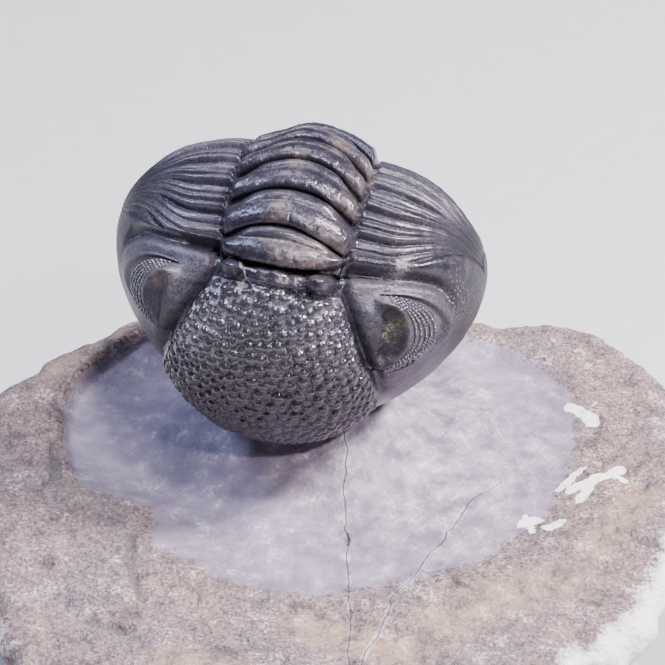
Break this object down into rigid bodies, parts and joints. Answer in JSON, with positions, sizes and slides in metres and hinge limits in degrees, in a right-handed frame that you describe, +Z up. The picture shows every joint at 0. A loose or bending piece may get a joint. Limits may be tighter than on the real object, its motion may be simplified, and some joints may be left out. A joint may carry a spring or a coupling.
{
  "type": "enrolled trilobite fossil on matrix",
  "caption": "Rolled-up black phacopid trilobite fossil with tubercled head and faceted eyes, freed on a pedestal of its own limestone slab; a shelf specimen.",
  "frame": {"origin": "middle of the rock's flat underside, on the surface that it rests on", "axes": "+Z up; the fossil's head looks towards -Y, turned a little towards -X; +X is to the right of someone facing the head"},
  "size_m": [0.0769, 0.0692, 0.0531],
  "materials": {
    "dark_shell": "near-black fossil shell with a violet-grey tint, semi-gloss on ridges and tubercles, brown patches and pale dust in the seams",
    "limestone": "matt lilac-grey prepared limestone inside, brown-grey granular crust outside, with white calcite patches and fine cracks"
  },
  "bodies": {
    "root": {"trilobite": "dark_shell", "rock_matrix": "limestone"}
  },
  "joints": []
}
